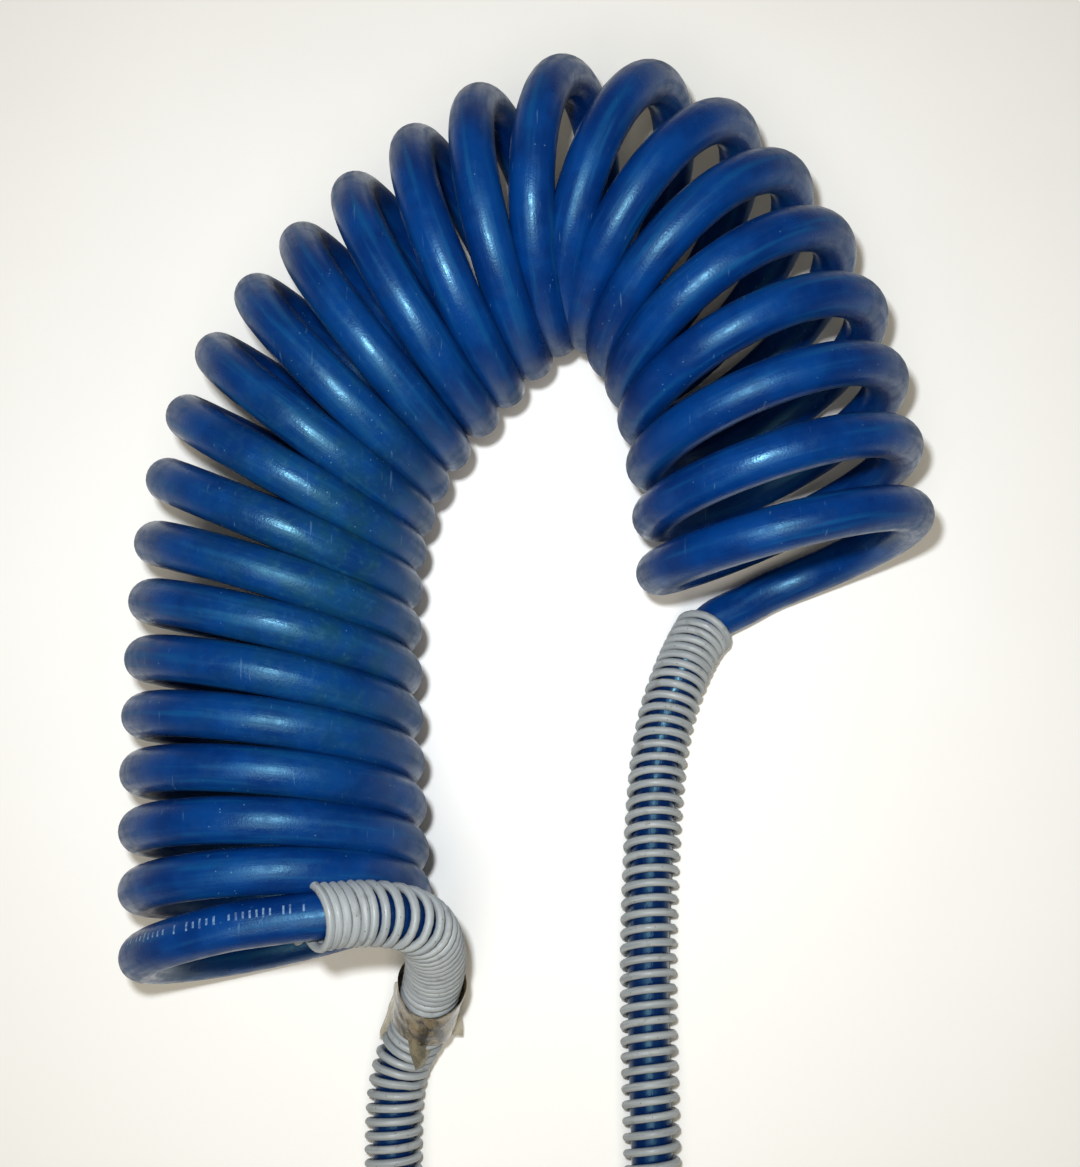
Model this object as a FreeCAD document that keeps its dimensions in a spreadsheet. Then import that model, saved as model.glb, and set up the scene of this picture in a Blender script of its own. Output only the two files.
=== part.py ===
"""Coiled air brake hose: coil, two leads with wire spring guards, a rigid end and a live-swivel end.

Units are millimetres. +Z is up and the hose lies on the plane Z = 0. The origin is at the centre of the
bounding box's base. Both leads run towards -Y and end in brass fittings with male pipe threads.
"""
import FreeCAD, Part

import math
import os

import Sketcher
from FreeCAD import Placement, Rotation, Vector

doc = FreeCAD.newDocument("coiled_air_hose")

# ---------------------------------------------------------------- driving dimensions
SIZES = {
    # hose: 1/2 in reinforced nylon tube, in three bonded layers
    "hose_outer": 12.7,
    "braid_outer": 11.3,
    "core_outer": 10.7,
    "hose_bore": 9.5,
    # coil, as one fat tube of its outside diameter
    "coil_mean": 76.2,
    # wire spring guard, as a sleeve of the spring's outside and inside
    "guard_outer": 17.3,
    "guard_inner": 13.1,
    # packing tape round the left guard
    "tape_inner": 17.4,
    "tape_outer": 18.4,
    # fitting sizes: diameters, across flats, and lengths along the fitting's own axis
    "hex_flats": 22.0,
    "hex_chamfer": 1.2,
    "nut_depth": 20.0,
    "guard_seat": 17.6,
    "guard_seat_depth": 6.0,
    "nut_throat": 13.1,
    "ferrule_start": 9.0,
    "ferrule_outer": 15.2,
    "ferrule_shoulder": 2.4,
    "ferrule_depth": 5.0,
    "ferrule_tip": 13.5,
    "spigot_start": 12.0,
    "spigot_outer": 17.5,
    "socket_bore": 12.9,
    "socket_mouth": 15.9,
    "socket_cone": 3.0,
    "tube_stop": 24.0,
    "body_hex_start": 21.0,
    "body_hex_depth": 9.0,
    "thread_outer": 21.3,
    "thread_chamfer": 1.5,
    "thread_depth": 20.0,
    "thread_relief": 18.4,
    "relief_depth": 2.0,
    "fitting_bore": 9.0,
    "insert_bore": 7.6,
    "insert_start": 8.0,
    "insert_flange": 0.8,
    # live swivel
    "barrel_outer": 20.5,
    "barrel_end": 40.0,
    "swivel_seat": 26.5,
    "swivel_bore": 15.0,
    "stem_outer": 14.9,
    "stem_start": 26.8,
    "stem_bore": 9.0,
    "seal_groove": 12.0,
    "seal_groove_start": 28.6,
    "seal_groove_width": 2.0,
    "seal_section": 1.44,
    "ring_groove_start": 34.0,
    "ring_groove_width": 1.8,
    "ring_groove_inner": 12.9,
    "ring_groove_outer": 17.0,
    "ring_inner": 13.4,
    "ring_outer": 17.0,
    "ring_width": 1.3,
    "ring_angle": 325.0,
    "washer_inner": 15.3,
    "washer_outer": 20.0,
    "washer_depth": 0.8,
    "nipple_hex_depth": 8.0,
}

sheet = doc.addObject("Spreadsheet::Sheet", "sizes")
for row, (alias, value) in enumerate(SIZES.items(), start=1):
    sheet.set(f"A{row}", alias)
    sheet.set(f"B{row}", str(value))
    sheet.setAlias(f"B{row}", alias)
doc.recompute()


def size(expression):
    """Value of an expression of the sheet's cells."""
    return float(sheet.evalExpression(expression))


HOSE_RADIUS = size("sizes.hose_outer / 2")
COIL_RADIUS = size("(sizes.coil_mean + sizes.hose_outer) / 2")
GUARD_RADIUS = size("sizes.guard_outer / 2")
FITTING_HEIGHT = size("sizes.hex_flats / 2")

# ---------------------------------------------------------------- routes (chosen by hand)
# axis of the coil, from its left end round the arch to its right end
COIL_ROUTE = [(-72, -24), (-76, 45), (-68, 122), (-12, 193), (52, 186), (74, 128), (74, 82)]
# left lead: over the top of the first turn, down its right side to the floor, then to its fitting
LEFT_ROUTE = [
    (-68, -9, 77), (-45, -8, 76.5), (-28, -14, 62), (-25, -26, 38), (-28, -44, 18), (-37, -64, 10),
    (-42, -88, 8.7), (-41, -122, 8.7), (-38, -165, 11), (-38, -207.2, 11),
]
# right lead: off the bottom of the last turn, round towards -Y, then along the floor to its fitting
RIGHT_ROUTE = [
    (81, 78, 6.4), (59, 71.5, 8), (48, 55.5, 9.6), (40.5, 35.5, 8.7), (37.5, 2, 8.7), (36, -45, 8.7),
    (38, -118, 11), (38, -184.2, 11),
]
LEFT_FITTING = Vector(-38, -184, FITTING_HEIGHT)
RIGHT_FITTING = Vector(38, -161, FITTING_HEIGHT)
# the two flat ends of the coil: a point of the end turn's plane, its heading and its lean, in degrees
LEFT_END = (Vector(-72, -24, 42), -10, 20)
RIGHT_END = (Vector(74, 82, 43), 168, -12)
# how far the fat tube runs on past both ends before it is cut along those planes
END_ALLOWANCE = 25

ARC_SHARE = 0.45


def corner(before, point, after):
    """Tangent points and middle of the arc that rounds one corner of a route, and its radius."""
    back = before - point
    ahead = after - point
    reach = ARC_SHARE * min(back.Length, ahead.Length)
    back.normalize()
    ahead.normalize()
    half_turn = (math.pi - back.getAngle(ahead)) / 2
    radius = reach / math.tan(half_turn)
    towards = (back + ahead).normalize()
    middle = point + towards * (radius / math.cos(half_turn) - radius)
    return point + back * reach, middle, point + ahead * reach, radius


def route_edges(points, name):
    """Straight runs joined by tangent arcs: line, arc, line, arc ... line."""
    edges = []
    radii = []
    start = points[0]
    for before, point, after in zip(points, points[1:], points[2:]):
        first, middle, last, radius = corner(before, point, after)
        edges.append(Part.LineSegment(start, first).toShape())
        edges.append(Part.Arc(first, middle, last).toShape())
        radii.append(radius)
        start = last
    edges.append(Part.LineSegment(start, points[-1]).toShape())
    print(name, "arc radii", " ".join(f"{radius:.0f}" for radius in radii))
    return edges


def route_object(edges, name):
    """A wire as a document object, for a sweep to follow, placed at its start with Z along its heading."""
    first = edges[0]
    start = first.valueAt(first.FirstParameter)
    heading = first.tangentAt(first.FirstParameter)
    place = Placement(start, Rotation(Vector(0, 0, 1), heading))
    wire = doc.addObject("Part::Feature", name)
    wire.Shape = Part.Wire([edge.transformed(place.inverse().toMatrix()) for edge in edges])
    wire.Placement = place
    return wire


def sweep(name, diameter, spine):
    """A round bar of the given diameter (an expression) along a wire."""
    circle = doc.addObject("Part::Circle", name + "_profile")
    circle.setExpression("Radius", f"({diameter}) / 2")
    circle.Placement = spine.Placement
    bar = doc.addObject("Part::Sweep", name)
    bar.Sections = [circle]
    bar.Spine = (spine, [f"Edge{number + 1}" for number in range(len(spine.Shape.Edges))])
    bar.Solid = True
    bar.Frenet = False
    doc.recompute()
    section = math.pi * size(diameter) ** 2 / 4
    print(name, "volume / (section x length) =", round(bar.Shape.Volume / (section * spine.Shape.Length), 4))
    return bar


def cut(name, base, tool):
    """base minus tool, as a document object."""
    result = doc.addObject("Part::Cut", name)
    result.Base = base
    result.Tool = tool
    return result


def end_block(name, end, length):
    """A block that starts at an end turn's plane and reaches away from the coil by length."""
    point, heading, lean = end
    turned = Rotation(Vector(0, 0, 1), -heading)
    tipped = Rotation(Vector(1, 0, 0), -lean)
    side = 4 * COIL_RADIUS
    block = doc.addObject("Part::Box", name)
    block.Length = side
    block.Width = abs(length)
    block.Height = side
    spin = turned.multiply(tipped)
    corner_offset = Vector(-side / 2, min(length, 0), -side / 2)
    block.Placement = Placement(point + spin.multVec(corner_offset), spin)
    return block


parts = {}


def keep(label, item):
    """Register a finished sub-part under the name of its node."""
    item.Label = label
    parts[label] = item


def extended(points, distance):
    """The route with its first and last points moved outwards along their runs."""
    first_run = (points[0] - points[1]).normalize()
    last_run = (points[-1] - points[-2]).normalize()
    return [points[0] + first_run * distance, *points[1:-1], points[-1] + last_run * distance]


# ---------------------------------------------------------------- coil
coil_points = extended([Vector(x, y, COIL_RADIUS) for x, y in COIL_ROUTE], END_ALLOWANCE)
coil_axis = route_object(route_edges(coil_points, "coil"), "coil_axis")
coil_bar = sweep("coil_bar", "sizes.coil_mean + sizes.hose_outer", coil_axis)
coil_left_cut = cut("coil_left_cut", coil_bar, end_block("coil_left_block", LEFT_END, -3 * COIL_RADIUS))
coil = cut("coil_solid", coil_left_cut, end_block("coil_right_block", RIGHT_END, 3 * COIL_RADIUS))
keep("hose_coil", coil)

# ---------------------------------------------------------------- leads, guards and tape
LAYERS = {
    "cover": ("sizes.hose_outer", "sizes.braid_outer"),
    "braid": ("sizes.braid_outer", "sizes.core_outer"),
    "core": ("sizes.core_outer", "sizes.hose_bore"),
}
LEADS = {
    # side: route, fitting, end turn, reach of the block that keeps the lead off the coil
    "left": (LEFT_ROUTE, LEFT_FITTING, LEFT_END, 3 * COIL_RADIUS),
    "right": (RIGHT_ROUTE, RIGHT_FITTING, RIGHT_END, -3 * COIL_RADIUS),
}
GUARD_FIRST_EDGE = {"left": 1, "right": 2}
TAPE_EDGES = slice(7, 9)


def trimmed_tube(name, outer, inner, spine, block):
    """A tube along a wire, cut back to the plane of the coil's end turn."""
    wall = cut(name + "_wall", sweep(name + "_outer", outer, spine), sweep(name + "_inner", inner, spine))
    if block is None:
        return wall
    return cut(name + "_trimmed", wall, block)


for side, (route, fitting, end, reach) in LEADS.items():
    edges = route_edges([Vector(*point) for point in route], side + " lead")
    spine = route_object(edges, side + "_lead_route")
    for layer, (outer, inner) in LAYERS.items():
        block = end_block(f"{side}_{layer}_block", end, reach)
        keep(f"hose_{layer}_{side}", trimmed_tube(f"{side}_{layer}", outer, inner, spine, block))
    guard_end = fitting - Vector(0, size("sizes.guard_seat_depth"), 0)
    last_line = edges[-1]
    guard_line = Part.LineSegment(last_line.valueAt(last_line.FirstParameter), guard_end).toShape()
    guard_edges = edges[GUARD_FIRST_EDGE[side]:-1] + [guard_line]
    guard_spine = route_object(guard_edges, side + "_guard_route")
    block = end_block(side + "_guard_block", end, reach)
    guard = trimmed_tube(side + "_guard", "sizes.guard_outer", "sizes.guard_inner", guard_spine, block)
    keep(f"spring_guard_{side}", guard)
    print(side, "lead length", round(spine.Shape.Length), "guard length", round(guard_spine.Shape.Length))
    if side == "left":
        tape_spine = route_object(edges[TAPE_EDGES], "tape_route")
        tape = trimmed_tube("tape", "sizes.tape_outer", "sizes.tape_inner", tape_spine, None)
        keep("tape_wrap", tape)
        print("tape length", round(tape_spine.Shape.Length))


# ---------------------------------------------------------------- turned and hexagonal pieces
def new_body(name):
    return doc.addObject("PartDesign::Body", name)


def plane(body, role):
    return next(item for item in body.Origin.OriginFeatures if item.Role == role)


def outline(body, name, corners):
    """Closed sketch on the XZ plane through corners (radius, height), each an expression of the sheet."""
    sketch = body.newObject("Sketcher::SketchObject", name)
    sketch.AttachmentSupport = [(plane(body, "XZ_Plane"), "")]
    sketch.MapMode = "FlatFace"
    values = [Vector(size(x), size(y), 0) for x, y in corners]
    count = len(corners)
    for index in range(count):
        sketch.addGeometry(Part.LineSegment(values[index], values[(index + 1) % count]), False)
    for index in range(count):
        sketch.addConstraint(Sketcher.Constraint("Coincident", index, 2, (index + 1) % count, 1))
    for index, (x, y) in enumerate(corners):
        for axis, kind, expression in ((-2, "DistanceX", x), (-1, "DistanceY", y)):
            value = size(expression)
            if value == 0:
                sketch.addConstraint(Sketcher.Constraint("PointOnObject", index, 1, axis))
                continue
            number = sketch.addConstraint(Sketcher.Constraint(kind, -1, 1, index, 1, value))
            sketch.setExpression(f"Constraints[{number}]", expression)
    return sketch


def turned(body, name, corners, kind="PartDesign::Revolution", angle="360"):
    """Revolve an outline about the piece's own axis, adding or removing material."""
    sketch = outline(body, name + "_outline", corners)
    feature = body.newObject(kind, name)
    feature.Profile = sketch
    feature.ReferenceAxis = (sketch, ["V_Axis"])
    feature.setExpression("Angle", angle)
    doc.recompute()
    return feature


def hexagon(body, name, start, depth):
    """Pad a hexagon, flat side down, from height start for depth."""
    sketch = body.newObject("Sketcher::SketchObject", name + "_outline")
    sketch.AttachmentSupport = [(plane(body, "XY_Plane"), "")]
    sketch.MapMode = "FlatFace"
    sketch.setExpression("AttachmentOffset.Base.z", start)
    corner_radius = size("sizes.hex_flats / sqrt(3)")
    first = Vector(corner_radius, 0, 0)
    corners = [Rotation(Vector(0, 0, 1), 60 * step).multVec(first) for step in range(6)]
    for index in range(6):
        sketch.addGeometry(Part.LineSegment(corners[index], corners[(index + 1) % 6]), False)
    rim = sketch.addGeometry(Part.Circle(Vector(0, 0, 0), Vector(0, 0, 1), corner_radius), True)
    sketch.addConstraint(Sketcher.Constraint("Coincident", rim, 3, -1, 1))
    for index in range(6):
        sketch.addConstraint(Sketcher.Constraint("Coincident", index, 2, (index + 1) % 6, 1))
        sketch.addConstraint(Sketcher.Constraint("PointOnObject", index, 1, rim))
    for index in range(1, 5):
        sketch.addConstraint(Sketcher.Constraint("Equal", 0, index))
    sketch.addConstraint(Sketcher.Constraint("PointOnObject", 0, 1, -1))
    number = sketch.addConstraint(Sketcher.Constraint("Radius", rim, corner_radius))
    sketch.setExpression(f"Constraints[{number}]", "sizes.hex_flats / sqrt(3)")
    pad = body.newObject("PartDesign::Pad", name)
    pad.Profile = sketch
    pad.setExpression("Length", depth)
    doc.recompute()
    return pad


def bevel(body, name, height, inward):
    """Turn the hexagon's six corners back at one end: height is the end, inward the sign into the piece."""
    corner_radius = "sizes.hex_flats / sqrt(3)"
    flat_radius = "sizes.hex_flats / 2"
    beyond = f"({height}) - ({inward}) * 1"
    turned(body, name, [
        (flat_radius + " - 0.2", beyond),
        (flat_radius + " - 0.2", height),
        (corner_radius + " + 0.4", f"({height}) + ({inward}) * sizes.hex_chamfer"),
        (corner_radius + " + 0.4", beyond),
    ], kind="PartDesign::Groove")


def check_removed(label, before, after):
    """A cut that removes nothing points the wrong way."""
    if not after < before - 1:
        raise RuntimeError(label + ": a cut removed nothing")


def placed(body, fitting):
    """Lay a piece made about +Z along the fitting's axis, which runs towards -Y."""
    body.Placement = Placement(fitting, Rotation(Vector(1, 0, 0), 90))


def compression_nut(label, fitting):
    body = new_body(label + "_body")
    solid = hexagon(body, label + "_hex", "0.5", "sizes.nut_depth - 0.5").Shape.Volume
    bevel(body, label + "_front_bevel", "0.5", "1")
    bevel(body, label + "_back_bevel", "sizes.nut_depth", "-1")
    feature = turned(body, label + "_bore", [
        ("0", "0"),
        ("sizes.guard_seat / 2", "0"),
        ("sizes.guard_seat / 2", "sizes.guard_seat_depth"),
        ("sizes.nut_throat / 2", "sizes.guard_seat_depth"),
        ("sizes.nut_throat / 2", "sizes.ferrule_start"),
        ("sizes.spigot_outer / 2", "sizes.ferrule_start"),
        ("sizes.spigot_outer / 2", "sizes.nut_depth + 1"),
        ("0", "sizes.nut_depth + 1"),
    ], kind="PartDesign::Groove")
    check_removed(label, solid, feature.Shape.Volume)
    placed(body, fitting)
    keep(label, body)


def ferrule(label, fitting):
    body = new_body(label + "_body")
    turned(body, label + "_ring", [
        ("sizes.hose_outer / 2", "sizes.ferrule_start"),
        ("sizes.ferrule_outer / 2", "sizes.ferrule_start"),
        ("sizes.ferrule_outer / 2", "sizes.ferrule_start + sizes.ferrule_shoulder"),
        ("sizes.ferrule_tip / 2", "sizes.ferrule_start + sizes.ferrule_depth"),
        ("sizes.hose_outer / 2", "sizes.ferrule_start + sizes.ferrule_depth"),
    ])
    placed(body, fitting)
    keep(label, body)


def tube_insert(label, fitting):
    body = new_body(label + "_body")
    turned(body, label + "_sleeve", [
        ("sizes.insert_bore / 2", "sizes.insert_start"),
        ("sizes.hose_bore / 2", "sizes.insert_start"),
        ("sizes.hose_bore / 2", "sizes.tube_stop - sizes.insert_flange"),
        ("sizes.hose_outer / 2", "sizes.tube_stop - sizes.insert_flange"),
        ("sizes.hose_outer / 2", "sizes.tube_stop"),
        ("sizes.insert_bore / 2", "sizes.tube_stop"),
    ])
    placed(body, fitting)
    keep(label, body)


SOCKET = [
    ("0", "sizes.spigot_start - 1"),
    ("sizes.socket_mouth / 2", "sizes.spigot_start - 1"),
    ("sizes.socket_mouth / 2", "sizes.spigot_start"),
    ("sizes.socket_bore / 2", "sizes.spigot_start + sizes.socket_cone"),
    ("sizes.socket_bore / 2", "sizes.tube_stop"),
    ("sizes.fitting_bore / 2", "sizes.tube_stop"),
]
THREAD_START = "sizes.body_hex_start + sizes.body_hex_depth"
THREAD_END = THREAD_START + " + sizes.thread_depth"


def thread_outline(start):
    """Outside of a male pipe thread: relief groove, plain cylinder at the thread's outside, bevelled tip."""
    return [
        ("sizes.thread_relief / 2", start),
        ("sizes.thread_relief / 2", f"{start} + sizes.relief_depth"),
        ("sizes.thread_outer / 2", f"{start} + sizes.relief_depth"),
        ("sizes.thread_outer / 2", f"{start} + sizes.thread_depth - sizes.thread_chamfer"),
        ("sizes.thread_outer / 2 - sizes.thread_chamfer", f"{start} + sizes.thread_depth"),
    ]


def rigid_body(label, fitting):
    body = new_body(label + "_body")
    turned(body, label + "_blank", [
        ("0", "sizes.spigot_start"),
        ("sizes.spigot_outer / 2", "sizes.spigot_start"),
        ("sizes.spigot_outer / 2", THREAD_START),
        *thread_outline(THREAD_START),
        ("0", THREAD_END),
    ])
    hexagon(body, label + "_hex", "sizes.body_hex_start", "sizes.body_hex_depth")
    bevel(body, label + "_front_bevel", "sizes.body_hex_start", "1")
    solid = body.Shape.Volume
    feature = turned(body, label + "_bore", SOCKET + [
        ("sizes.fitting_bore / 2", THREAD_END + " + 1"),
        ("0", THREAD_END + " + 1"),
    ], kind="PartDesign::Groove")
    check_removed(label, solid, feature.Shape.Volume)
    placed(body, fitting)
    keep(label, body)


def swivel_body(label, fitting):
    body = new_body(label + "_body")
    turned(body, label + "_blank", [
        ("0", "sizes.spigot_start"),
        ("sizes.spigot_outer / 2", "sizes.spigot_start"),
        ("sizes.spigot_outer / 2", THREAD_START),
        ("sizes.barrel_outer / 2", THREAD_START),
        ("sizes.barrel_outer / 2", "sizes.barrel_end"),
        ("0", "sizes.barrel_end"),
    ])
    hexagon(body, label + "_hex", "sizes.body_hex_start", "sizes.body_hex_depth")
    bevel(body, label + "_front_bevel", "sizes.body_hex_start", "1")
    solid = body.Shape.Volume
    feature = turned(body, label + "_bore", SOCKET + [
        ("sizes.fitting_bore / 2", "sizes.swivel_seat"),
        ("sizes.swivel_bore / 2", "sizes.swivel_seat"),
        ("sizes.swivel_bore / 2", "sizes.ring_groove_start"),
        ("sizes.ring_groove_outer / 2", "sizes.ring_groove_start"),
        ("sizes.ring_groove_outer / 2", "sizes.ring_groove_start + sizes.ring_groove_width"),
        ("sizes.swivel_bore / 2", "sizes.ring_groove_start + sizes.ring_groove_width"),
        ("sizes.swivel_bore / 2", "sizes.barrel_end + 1"),
        ("0", "sizes.barrel_end + 1"),
    ], kind="PartDesign::Groove")
    check_removed(label, solid, feature.Shape.Volume)
    placed(body, fitting)
    keep(label, body)


NIPPLE_HEX_START = "sizes.barrel_end + sizes.washer_depth + 0.4"
NIPPLE_THREAD = NIPPLE_HEX_START + " + sizes.nipple_hex_depth"
NIPPLE_END = NIPPLE_THREAD + " + sizes.thread_depth"


def swivel_nipple(label, fitting):
    body = new_body(label + "_body")
    turned(body, label + "_blank", [
        ("0", "sizes.stem_start"),
        ("sizes.stem_outer / 2", "sizes.stem_start"),
        ("sizes.stem_outer / 2", "sizes.seal_groove_start"),
        ("sizes.seal_groove / 2", "sizes.seal_groove_start"),
        ("sizes.seal_groove / 2", "sizes.seal_groove_start + sizes.seal_groove_width"),
        ("sizes.stem_outer / 2", "sizes.seal_groove_start + sizes.seal_groove_width"),
        ("sizes.stem_outer / 2", "sizes.ring_groove_start"),
        ("sizes.ring_groove_inner / 2", "sizes.ring_groove_start"),
        ("sizes.ring_groove_inner / 2", "sizes.ring_groove_start + sizes.ring_groove_width"),
        ("sizes.stem_outer / 2", "sizes.ring_groove_start + sizes.ring_groove_width"),
        ("sizes.stem_outer / 2", NIPPLE_THREAD),
        *thread_outline(NIPPLE_THREAD),
        ("0", NIPPLE_END),
    ])
    hexagon(body, label + "_hex", NIPPLE_HEX_START, "sizes.nipple_hex_depth")
    bevel(body, label + "_front_bevel", NIPPLE_HEX_START, "1")
    solid = body.Shape.Volume
    feature = turned(body, label + "_bore", [
        ("0", "sizes.stem_start - 1"),
        ("sizes.stem_bore / 2", "sizes.stem_start - 1"),
        ("sizes.stem_bore / 2", NIPPLE_END + " + 1"),
        ("0", NIPPLE_END + " + 1"),
    ], kind="PartDesign::Groove")
    check_removed(label, solid, feature.Shape.Volume)
    placed(body, fitting)
    keep(label, body)


def seal_ring(label, fitting):
    ring = doc.addObject("Part::Torus", label + "_torus")
    ring.setExpression("Radius1", "(sizes.seal_groove + sizes.seal_section) / 2")
    ring.setExpression("Radius2", "sizes.seal_section / 2")
    middle = size("sizes.seal_groove_start + sizes.seal_groove_width / 2")
    ring.Placement = Placement(fitting - Vector(0, middle, 0), Rotation(Vector(1, 0, 0), 90))
    keep(label, ring)


def retaining_ring(label, fitting):
    middle = "sizes.ring_groove_start + sizes.ring_groove_width / 2"
    low = middle + " - sizes.ring_width / 2"
    high = middle + " + sizes.ring_width / 2"
    body = new_body(label + "_body")
    turned(body, label + "_band", [
        ("sizes.ring_inner / 2", low),
        ("sizes.ring_outer / 2", low),
        ("sizes.ring_outer / 2", high),
        ("sizes.ring_inner / 2", high),
    ], angle="sizes.ring_angle")
    placed(body, fitting)
    keep(label, body)


def thrust_washer(label, fitting):
    body = new_body(label + "_body")
    turned(body, label + "_disc", [
        ("sizes.washer_inner / 2", "sizes.barrel_end"),
        ("sizes.washer_outer / 2", "sizes.barrel_end"),
        ("sizes.washer_outer / 2", "sizes.barrel_end + sizes.washer_depth"),
        ("sizes.washer_inner / 2", "sizes.barrel_end + sizes.washer_depth"),
    ])
    placed(body, fitting)
    keep(label, body)


for side, fitting in (("left", LEFT_FITTING), ("right", RIGHT_FITTING)):
    compression_nut("compression_nut_" + side, fitting)
    ferrule("ferrule_" + side, fitting)
    tube_insert("tube_insert_" + side, fitting)
rigid_body("fitting_body_left", LEFT_FITTING)
swivel_body("fitting_body_right", RIGHT_FITTING)
swivel_nipple("swivel_nipple", RIGHT_FITTING)
seal_ring("swivel_o_ring", RIGHT_FITTING)
retaining_ring("swivel_retaining_ring", RIGHT_FITTING)
thrust_washer("swivel_thrust_washer", RIGHT_FITTING)

# ---------------------------------------------------------------- checks and files
doc.recompute()
for item in doc.Objects:
    if "Invalid" in item.State or "Error" in item.State:
        raise RuntimeError(f"{item.Name}: {item.State}")
for label, item in parts.items():
    if item.Shape.isNull() or not item.Shape.isValid():
        raise RuntimeError(label + ": bad shape")

os.makedirs("parts", exist_ok=True)
low = Vector(1e9, 1e9, 1e9)
high = Vector(-1e9, -1e9, -1e9)
for label, item in parts.items():
    box = item.Shape.optimalBoundingBox()
    low = Vector(min(low.x, box.XMin), min(low.y, box.YMin), min(low.z, box.ZMin))
    high = Vector(max(high.x, box.XMax), max(high.y, box.YMax), max(high.z, box.ZMax))
    item.Shape.exportStep(os.path.join("parts", label + ".step"))
print(len(parts), "parts, box", [round(v, 1) for v in (*low, *high)])
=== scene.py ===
import math

import bpy
import numpy as np
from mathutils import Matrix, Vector


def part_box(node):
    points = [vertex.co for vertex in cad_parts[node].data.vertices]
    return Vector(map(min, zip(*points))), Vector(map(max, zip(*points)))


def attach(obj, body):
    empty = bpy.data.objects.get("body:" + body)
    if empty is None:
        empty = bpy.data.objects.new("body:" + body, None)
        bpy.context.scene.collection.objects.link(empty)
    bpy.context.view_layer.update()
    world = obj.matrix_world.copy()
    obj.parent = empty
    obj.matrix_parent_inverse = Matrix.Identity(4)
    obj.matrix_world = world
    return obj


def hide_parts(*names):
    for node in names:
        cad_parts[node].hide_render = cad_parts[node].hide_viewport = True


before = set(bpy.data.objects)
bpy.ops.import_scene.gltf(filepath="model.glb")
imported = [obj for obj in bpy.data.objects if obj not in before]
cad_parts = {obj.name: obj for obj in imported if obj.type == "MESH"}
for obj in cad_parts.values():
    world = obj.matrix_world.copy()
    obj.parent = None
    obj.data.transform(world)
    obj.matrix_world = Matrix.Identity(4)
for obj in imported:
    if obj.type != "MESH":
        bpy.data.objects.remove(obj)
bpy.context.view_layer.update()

MM = 0.001

# ---------------------------------------------------------------- sizes, in metres
HOSE_RADIUS = 6.35 * MM
BRAID_RADIUS = 5.65 * MM
CORE_RADIUS = 5.35 * MM
BORE_RADIUS = 4.75 * MM
WIRE_RADIUS = 1.24 * MM
GUARD_MEAN_RADIUS = 7.63 * MM
SPRING_SEAT = 17 * MM  # the guards end this far from the ends of the hose
SNUG = 15 * MM  # this near to the mouth, turns aren't spread to clear each other in a bend
FLARE_LENGTH = 4 * MM
HOSE_STEP = 1.8 * MM  # between the rings of points of the hose's mesh
HOSE_SIDES = 28
WIRE_SIDES = 10
WIRE_POINTS_PER_TURN = 22
HEX_FLATS = 22 * MM
HEX_CHAMFER = 1.2 * MM
THREAD_OUTER = 21.3 * MM
THREAD_PITCH = 1.814 * MM
THREAD_DEPTH = 1.3 * MM
THREAD_CHAMFER = 1.5 * MM
THREAD_RUN_IN = 2 * MM
AROUND = 96  # points round a turned piece

# the faded ink marks: their length along the hose and the space for each tick in millimetres, and how far
# from straight up the row faces
PRINT_LENGTH = 52.0
TICK_STEP = 1.7
PRINT_FACES = math.radians(32)

# ---------------------------------------------------------------- routes, in millimetres as in the CAD part
COIL_ROUTE = [(-72, -24), (-75, 45), (-70, 119), (-29, 169), (17, 200), (52, 174), (71, 130), (74, 82)]
LEFT_ROUTE = [
    (-45, -8, 76.5), (-29, -12, 66), (-26, -26, 44), (-30, -42, 26), (-33, -53, 15), (-41, -67, 9),
    (-42.5, -90, 8.7), (-41, -122, 8.7), (-38, -165, 11), (-38, -207.2, 11),
]
RIGHT_ROUTE = [
    (66, 74.5, 7), (55.5, 69.8, 8.4), (47.5, 56, 9.6), (40.5, 35.5, 8.7), (37.5, 2, 8.7), (36, -45, 8.7),
    (38, -118, 11), (38, -184.2, 11),
]

# the coil: its turns are a little closer together at the left end and drawn in round the middle; the pitch
# is in millimetres
TURNS = 24.5
POINTS_PER_TURN = 24
PITCHES = {0: 14.7, 4: 14.5, 9: 15.2, 14: 17, 18: 16.2, 24.5: 18.4}
COIL_RADIUS = 38.1 * MM
DRAWN_IN = 2.5 * MM
# the turns stand between square to the axis and an even fan, the lead pulls the first one round, and those
# at the top of the arch stand a few degrees further round
FAN_SHARE = 0.4
FIRST_FAN, LAST_FAN = -15, 145
LEAD_PULL, PULL_TURNS = 7, 0.8
FURTHER_ROUND = {0: 0, 12: -1, 15: 8, 16.5: 10, 17.5: 4, 20: 4, 24.5: -1}
# they lean forward at the first turn, back at the twentieth, and less again at the last
LEANS = {0: 20, 20: -13, 24.5: -4}


def smooth(keys, at):
    """Monotone cubic through a few keyed values."""
    x = np.array(list(keys), float)
    y = np.array(list(keys.values()), float)
    step = np.diff(x)
    slope = np.diff(y) / step
    tangent = np.empty(len(x))
    tangent[0], tangent[-1] = slope[0], slope[-1]
    for i in range(1, len(x) - 1):
        before, after = slope[i - 1], slope[i]
        tangent[i] = 0 if before * after <= 0 else 2 * before * after / (before + after)
    at = np.clip(np.asarray(at, float), x[0], x[-1])
    i = np.clip(np.searchsorted(x, at) - 1, 0, len(step) - 1)
    u = (at - x[i]) / step[i]
    return (
        y[i] * (1 + 2 * u) * (1 - u) ** 2
        + y[i + 1] * u * u * (3 - 2 * u)
        + step[i] * (tangent[i] * u * (1 - u) ** 2 - tangent[i + 1] * u * u * (1 - u))
    )


def unit(vectors):
    return vectors / np.linalg.norm(vectors, axis=-1, keepdims=True)


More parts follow.
